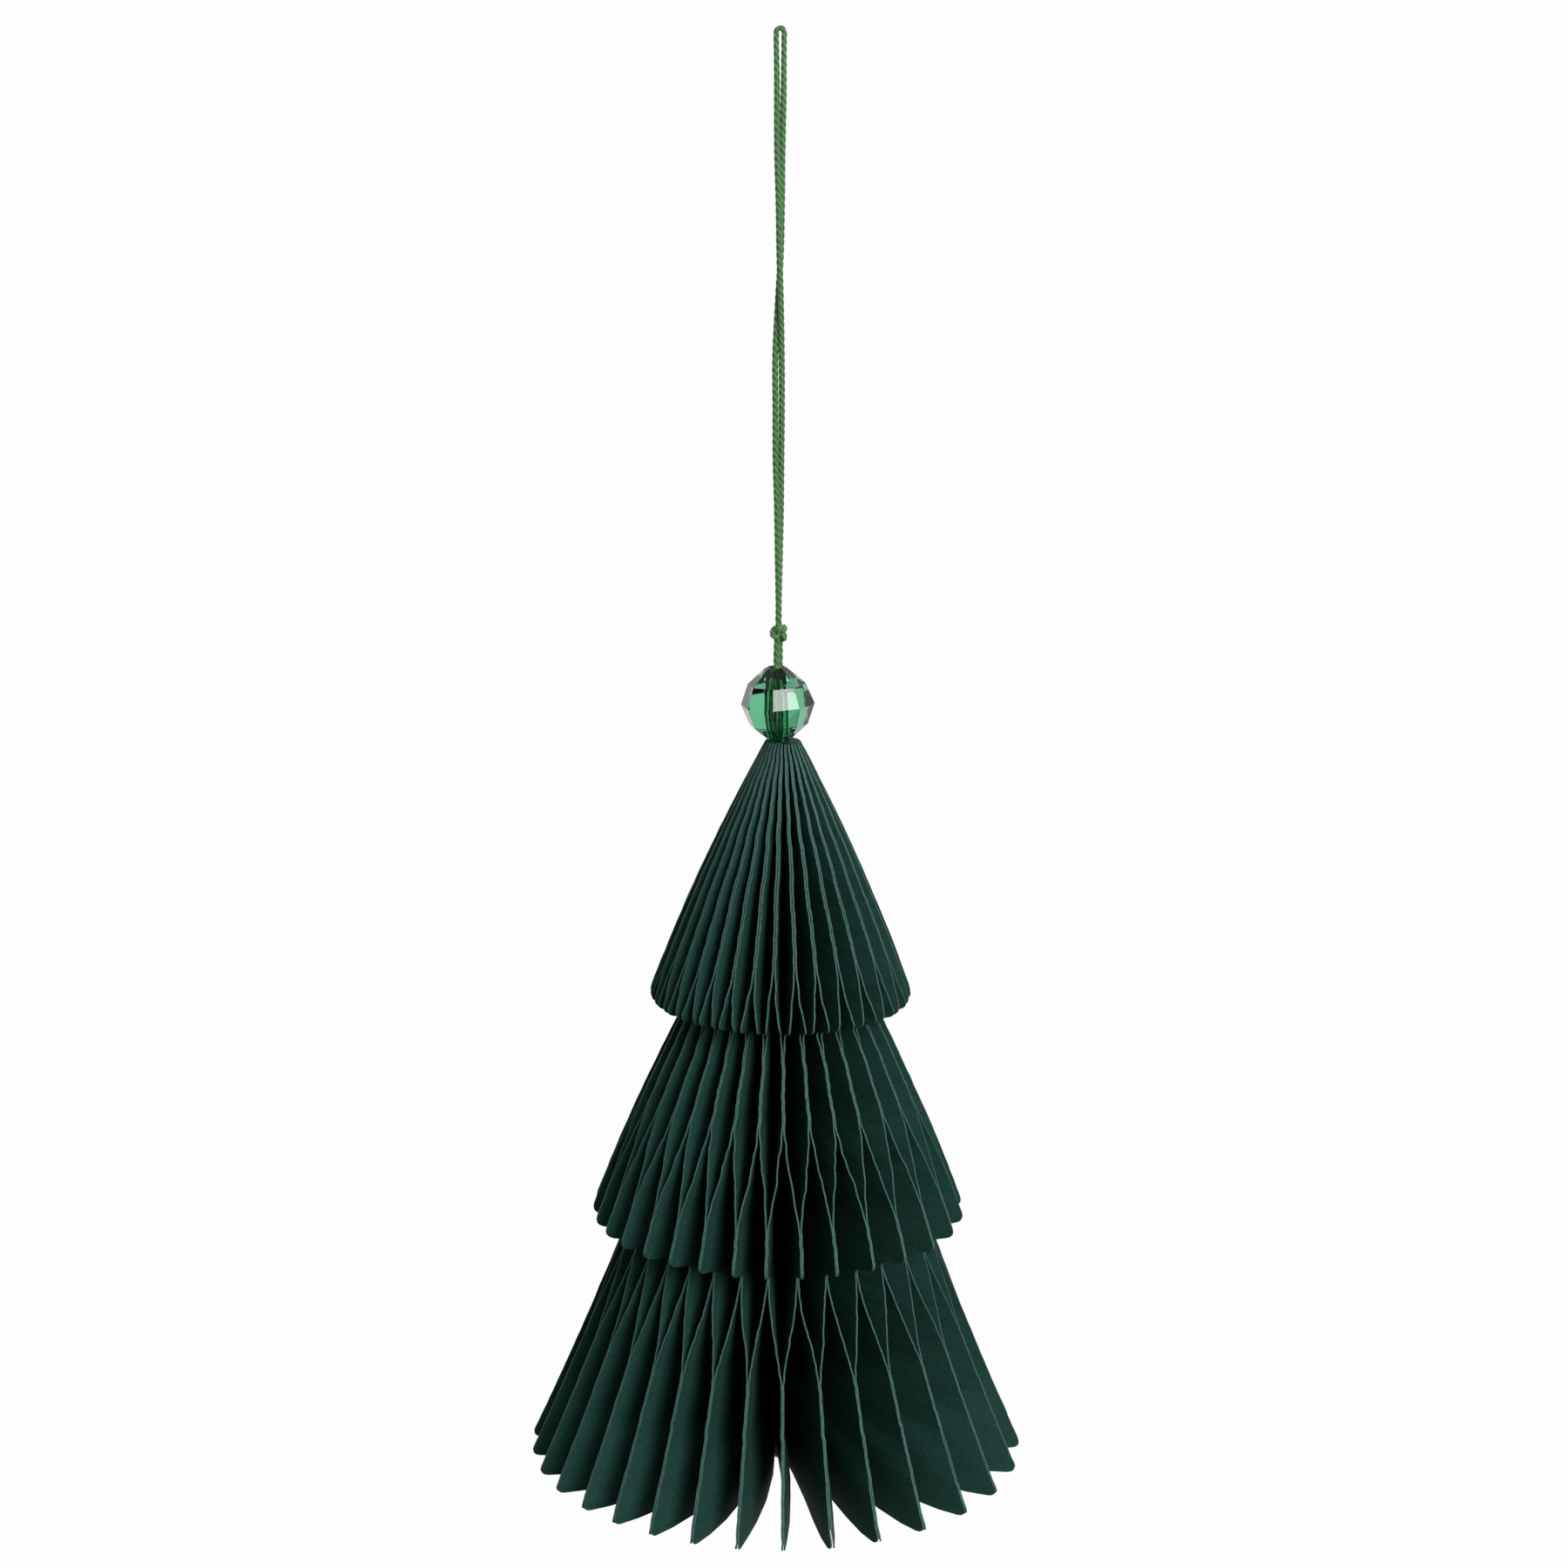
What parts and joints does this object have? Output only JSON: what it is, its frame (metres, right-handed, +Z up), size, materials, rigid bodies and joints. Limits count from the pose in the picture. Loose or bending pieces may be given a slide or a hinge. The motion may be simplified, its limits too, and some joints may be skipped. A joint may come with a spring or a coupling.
{
  "type": "honeycomb paper ornament",
  "caption": "Hanging tree in three skirted tiers, fanned from a glued pack of dark green leaves, under a clear green faceted bead and a knotted cord loop.",
  "frame": {"origin": "inside of the cord loop's top, where a hook bears", "axes": "+Z up along the hanging cord and the tree's spine, -Y the side seen in the picture, +X to the right there"},
  "size_m": [0.0821, 0.0822, 0.2372],
  "materials": {
    "dyed_paper": "matt uncoated card, dyed through, with cut edges a little lighter",
    "clear_acrylic": "clear moulded acrylic with polished facets",
    "cotton_cord": "twisted waxed cotton cord"
  },
  "bodies": {
    "root": {"paper_leaves": "dyed_paper", "bead": "clear_acrylic", "cord_loop": "cotton_cord", "cord_knot": "cotton_cord", "cord_tail": "cotton_cord", "cord_end_knot": "cotton_cord"}
  },
  "joints": []
}
